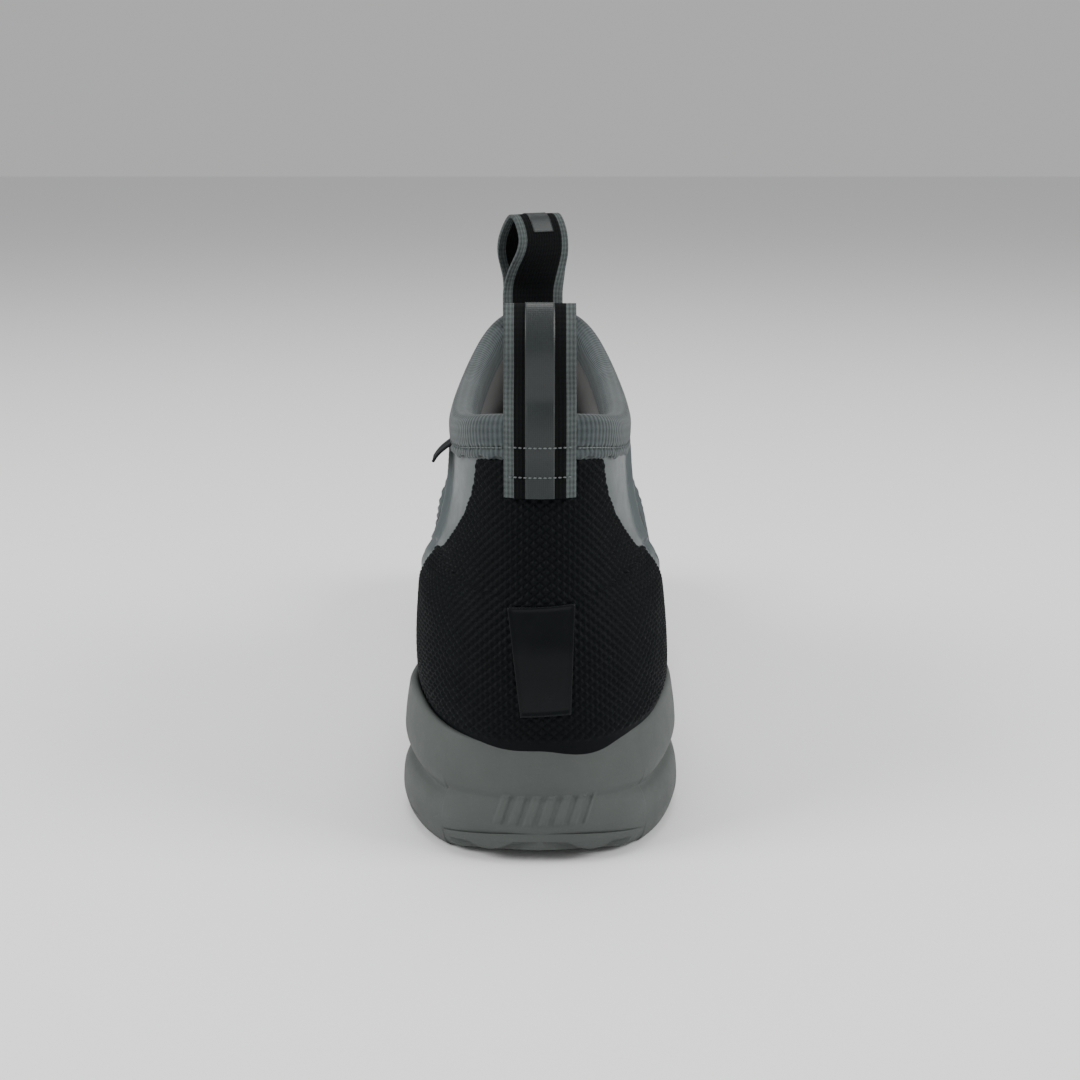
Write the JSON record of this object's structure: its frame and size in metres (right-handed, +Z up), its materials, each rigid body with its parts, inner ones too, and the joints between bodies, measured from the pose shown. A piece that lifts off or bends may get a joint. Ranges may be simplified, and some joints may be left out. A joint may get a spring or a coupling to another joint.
{
  "type": "ankle-height deck boot",
  "caption": "Right ankle-height deck boot with a moulded cup sole, textured heel and toe overlays, side gores and webbing pull loops front and back.",
  "frame": {"origin": "on the ground, under the middle of the sole's length and width", "axes": "+X to the outer side of a right foot, +Y from heel to toe, +Z up"},
  "size_m": [0.0898, 0.2999, 0.1804],
  "materials": {
    "sole_rubber": "matt moulded rubber with fine speckle",
    "midsole_foam": "matt moulded foam rubber",
    "nylon_board": "plain matt board",
    "footbed_foam": "brushed knit over foam",
    "upper_rubber": "smooth satin rubber",
    "neoprene": "closed-cell foam",
    "lining_knit": "smooth brushed knit",
    "gore_rubber": "fine ribbed stretch panel",
    "textured_rubber": "black rubber with a raised diamond lattice",
    "badge_rubber": "semi-gloss smooth rubber",
    "binding_knit": "ribbed knit tape",
    "thread": "spun polyester thread",
    "webbing": "black ribbed webbing with grey edges",
    "reflective_tape": "satin reflective tape",
    "label_weave": "fine woven tape"
  },
  "bodies": {
    "boot": {"outsole_heel": "sole_rubber", "outsole_forefoot": "sole_rubber", "midsole": "midsole_foam", "shank": "nylon_board", "insole_board": "nylon_board", "footbed": "footbed_foam", "upper_shell": "upper_rubber", "heel_counter": "nylon_board", "toe_puff": "nylon_board", "foam_layer": "neoprene", "lining_bootie": "lining_knit", "gore_medial": "gore_rubber", "gore_lateral": "gore_rubber", "heel_overlay": "textured_rubber", "heel_badge": "badge_rubber", "toe_bumper": "textured_rubber", "collar_binding": "binding_knit", "binding_stitching": "thread", "rear_strap_outer_end": "webbing", "rear_strap_inner_end": "webbing", "rear_strap_stitching": "thread", "front_strap_outer_end": "webbing", "front_strap_inner_end": "webbing", "front_strap_stitching": "thread"},
    "rear_loop": {"rear_pull_loop": "webbing", "rear_loop_tape": "reflective_tape"},
    "front_loop": {"front_pull_loop": "webbing", "front_loop_tape": "reflective_tape"},
    "label": {"side_label": "label_weave"}
  },
  "joints": [
    {"name": "rear_loop_bend", "type": "hinge", "parent": "boot", "child": "rear_loop", "pos_m": [0, -0.1346, 0.1366], "axis": [1, 0, 0], "range_deg": [-60, 60], "stiffness_Nm_per_rad": 0.02},
    {"name": "front_loop_bend", "type": "hinge", "parent": "boot", "child": "front_loop", "pos_m": [-0.0025, -0.014, 0.1545], "axis": [0.9659, 0.2588, 0], "range_deg": [-60, 60], "stiffness_Nm_per_rad": 0.02},
    {"name": "label_lift", "type": "hinge", "parent": "boot", "child": "label", "pos_m": [-0.0296, -0.097, 0.114], "axis": [0, 1, 0], "range_deg": [-8, 60], "stiffness_Nm_per_rad": 0.0008}
  ]
}
